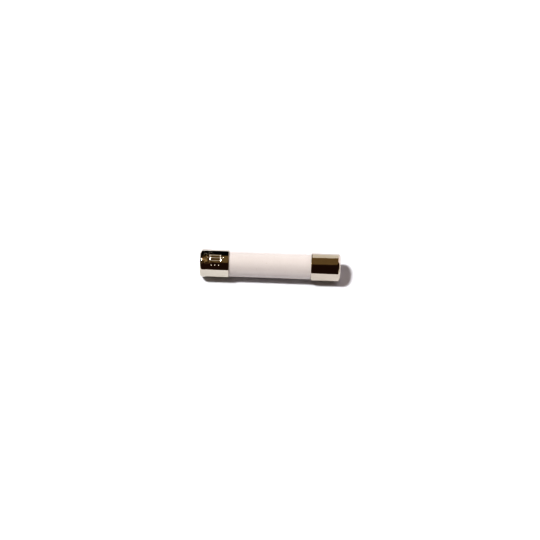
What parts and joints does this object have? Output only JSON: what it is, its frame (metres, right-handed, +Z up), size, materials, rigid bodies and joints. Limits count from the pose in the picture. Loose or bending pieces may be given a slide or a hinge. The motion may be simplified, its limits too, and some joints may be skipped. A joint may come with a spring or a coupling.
{
  "type": "cartridge fuse",
  "caption": "Small round cartridge fuse: a white ceramic tube closed by two bright drawn metal contact caps, filled with sand round a flat fuse link.",
  "frame": {"origin": "centre of the fuse, on its axis and halfway between its end faces", "axes": "+X along the fuse towards the plain cap, the stamped cap at -X; +Z up"},
  "size_m": [0.0318, 0.0064, 0.0064],
  "materials": {
    "ceramic_body": "satin",
    "nickel_plated_brass": "polished",
    "silvered_copper": "satin",
    "tin": "satin",
    "quartz_sand": "matte",
    "vulcanised_fibre": "matte",
    "soft_solder": "satin",
    "end_cement": "matte"
  },
  "bodies": {
    "root": {"ceramic_tube": "ceramic_body", "left_end_cap": "nickel_plated_brass", "right_end_cap": "nickel_plated_brass", "fuse_link": "silvered_copper", "tin_bead": "tin", "sand_filler": "quartz_sand", "left_washer": "vulcanised_fibre", "right_washer": "vulcanised_fibre", "left_solder": "soft_solder", "right_solder": "soft_solder", "left_cement": "end_cement", "right_cement": "end_cement"}
  },
  "joints": []
}
